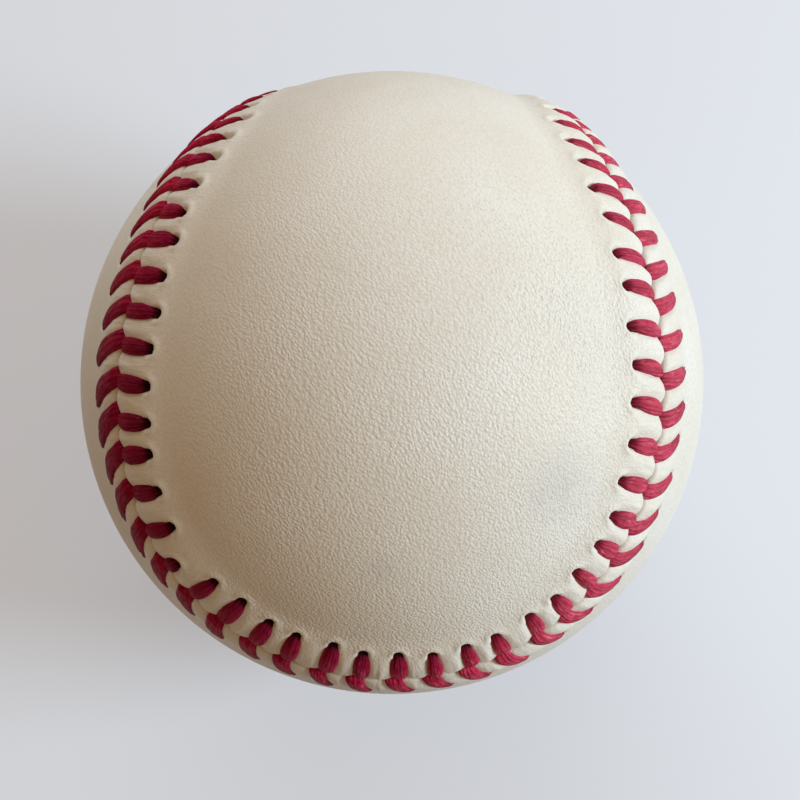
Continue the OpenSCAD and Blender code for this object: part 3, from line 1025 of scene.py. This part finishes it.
def yarn_material(name, dark, light, yarn_w):
    """Wound yarn: bands of parallel turns that cross over each other in patches."""
    n = Nodes(name)
    height = yarn_turns(n, FIRST_BAND_TURN, yarn_w)
    for turn, level in CROSSING_BANDS:
        turns = yarn_turns(n, turn, yarn_w)
        patch = n.noise(n.place(turn=turn), scale=0.12, detail=1.0)
        height = n.blend(n.spread(patch, (level - BAND_EDGE, level + BAND_EDGE)), height, turns)
    hair = n.noise(n.place(), scale=3.5, detail=3.0, roughness=0.7)
    colour = n.mix(n.product(n.math("ADD", height, hair), 0.5), dark, light)
    hairy = n.math("ADD", height, n.product(hair, 0.4))
    return n.finish(
        Base_Color=colour, Roughness=0.9, Normal=n.bump(hairy, depth=0.35, strength=0.7), Sheen_Weight=0.2,
    )


def cement_material():
    n = Nodes("cement")
    smear = n.noise(n.place((1, 1, 0.3)), scale=0.4, detail=4.0, roughness=0.6, distortion=0.8)
    return n.finish(
        Base_Color=n.mix(n.spread(smear, (0.3, 0.7)), rgb(0.62, 0.54, 0.34), rgb(0.74, 0.67, 0.47)),
        Roughness=n.spread(smear, (0.3, 0.7), (0.35, 0.6)), Normal=n.bump(smear, depth=0.08, strength=0.5),
    )


def dress(obj, material):
    obj.data.materials.clear()
    obj.data.materials.append(material)


# The pieces

leather = leather_material()
crimson_thread = thread_material()
for panel_name, panel_node, panel_side in (
    ("upright_leather", "upright_panel", UPRIGHT),
    ("crosswise_leather", "crosswise_panel", CROSSWISE),
):
    dress(cover_panel(panel_name, panel_node, panel_side), leather)
for thread_number, (thread_name, thread_node) in enumerate((
    ("first_sewing_thread", "first_thread"),
    ("second_sewing_thread", "second_thread"),
)):
    dress(sewing_thread(thread_name, thread_node, thread_number), crimson_thread)

black_rubber = rubber_material("black_rubber", rgb(0.016, 0.016, 0.018), rgb(0.035, 0.035, 0.038))
red_rubber = rubber_material("red_rubber", rgb(0.36, 0.035, 0.03), rgb(0.46, 0.065, 0.05))
inner_materials = {
    "cork_core": cork_material(),
    "upper_half_shell": black_rubber,
    "lower_half_shell": black_rubber,
    "half_shell_gasket": red_rubber,
    "rubber_jacket": red_rubber,
    "first_winding": yarn_material("thick_grey_wool", rgb(0.17, 0.17, 0.18), rgb(0.36, 0.36, 0.37), 1.2),
    "second_winding": yarn_material("white_wool", rgb(0.62, 0.58, 0.48), rgb(0.85, 0.82, 0.74), 0.9),
    "third_winding": yarn_material("fine_grey_wool", rgb(0.2, 0.2, 0.21), rgb(0.42, 0.42, 0.43), 0.9),
    "finishing_winding": yarn_material("finishing_yarn", rgb(0.68, 0.65, 0.57), rgb(0.9, 0.88, 0.82), 0.45),
    "cement_coat": cement_material(),
}
for inner_node, inner_material in inner_materials.items():
    dress(frame["nodes"][inner_node], inner_material)


# Floor, light and camera, with lengths in metres

FLOOR_REACH = 3.0
FLOOR_UNSEEN = rgb(0.13, 0.115, 0.1)
FLOOR_SEEN = rgb(0.5, 0.53, 0.57)
FLOOR_GLOW = rgb(0.25, 0.26, 0.28)
WORLD_LIGHT = rgb(1.0, 0.645, 0.36)
WORLD_STRENGTH = 0.335
BACKGROUND = rgb(0.86, 0.855, 0.84)

# The photograph is 800 pixels wide and high, with the ball's outline as a circle in it
FRAME_PX = 800
OUTLINE_R_PX = 311.5
OUTLINE_MIDDLE_PX = (391.9, 382.5)

# The camera, with its angles in degrees, its distance in radii of the ball and its sensor in millimetres
CAMERA_AZIMUTH = 1.55
CAMERA_ELEVATION = 75.05
CAMERA_ROLL = 0.63
CAMERA_DISTANCE = 3.66
SENSOR_W = 36
CLIP_START = 0.01


def floor():
    """A pale floor to the camera and in reflections, which throws little light on the ball."""
    low = -BALL_R * MM
    mesh = bpy.data.meshes.new("floor")
    reach = FLOOR_REACH
    corners = [(-reach, -reach, low), (reach, -reach, low), (reach, reach, low), (-reach, reach, low)]
    mesh.from_pydata(corners, [], [(0, 1, 2, 3)])
    obj = bpy.data.objects.new("floor", mesh)
    bpy.context.scene.collection.objects.link(obj)
    n = Nodes("pale_floor")
    path = n.add("ShaderNodeLightPath")
    seen = n.math("MAXIMUM", path.outputs["Is Camera Ray"], path.outputs["Is Glossy Ray"])
    n.finish(
        Base_Color=n.mix(seen, FLOOR_UNSEEN, FLOOR_SEEN), Roughness=0.9,
        Emission_Color=FLOOR_GLOW, Emission_Strength=seen,
    )
    obj.data.materials.append(n.material)


def area_light(name, azimuth, elevation, distance, size, power, colour):
    data = bpy.data.lights.new(name, "AREA")
    data.shape = "DISK"
    data.size = size
    data.energy = power
    data.color = colour
    obj = bpy.data.objects.new(name, data)
    level = math.cos(math.radians(elevation)) * distance
    turn = math.radians(azimuth)
    up = math.sin(math.radians(elevation)) * distance
    place = Vector((level * math.cos(turn), level * math.sin(turn), up))
    obj.matrix_world = Matrix.Translation(place) @ place.to_track_quat("Z", "Y").to_matrix().to_4x4()
    bpy.context.scene.collection.objects.link(obj)


def soft_world():
    """A warm soft light on the ball, with a pale background to the camera."""
    world = bpy.data.worlds.new("studio")
    bpy.context.scene.world = world
    world.use_nodes = True
    tree = world.node_tree
    light = tree.nodes["Background"]
    light.inputs["Color"].default_value = WORLD_LIGHT
    light.inputs["Strength"].default_value = WORLD_STRENGTH
    pale = tree.nodes.new("ShaderNodeBackground")
    pale.inputs["Color"].default_value = BACKGROUND
    pale.inputs["Strength"].default_value = 1.0
    path = tree.nodes.new("ShaderNodeLightPath")
    mix = tree.nodes.new("ShaderNodeMixShader")
    tree.links.new(path.outputs["Is Camera Ray"], mix.inputs[0])
    tree.links.new(light.outputs[0], mix.inputs[1])
    tree.links.new(pale.outputs[0], mix.inputs[2])
    tree.links.new(mix.outputs[0], tree.nodes["World Output"].inputs["Surface"])


def camera():
    data = bpy.data.cameras.new("camera")
    obj = bpy.data.objects.new("camera", data)
    bpy.context.scene.collection.objects.link(obj)
    bpy.context.scene.camera = obj
    focal_px = OUTLINE_R_PX * math.sqrt(CAMERA_DISTANCE**2 - 1)
    data.sensor_width = SENSOR_W
    data.lens = data.sensor_width * focal_px / FRAME_PX
    data.shift_x = (FRAME_PX / 2 - OUTLINE_MIDDLE_PX[0]) / FRAME_PX
    data.shift_y = (OUTLINE_MIDDLE_PX[1] - FRAME_PX / 2) / FRAME_PX
    data.clip_start = CLIP_START
    aim = (
        Matrix.Rotation(math.radians(CAMERA_AZIMUTH), 4, "Z")
        @ Matrix.Rotation(math.radians(90 - CAMERA_ELEVATION), 4, "X")
        @ Matrix.Rotation(math.radians(CAMERA_ROLL), 4, "Z")
    )
    obj.matrix_world = aim @ Matrix.Translation((0, 0, CAMERA_DISTANCE * BALL_R * MM))


floor()
area_light(
    "key", azimuth=-5, elevation=30, distance=0.6, size=0.25, power=3.65, colour=(0.754, 0.892, 1.0),
)
area_light(
    "fill", azimuth=100, elevation=25, distance=0.7, size=0.7, power=2.55, colour=(0.855, 0.94, 1.0),
)
soft_world()
camera()
bpy.context.scene.view_settings.view_transform = "Standard"
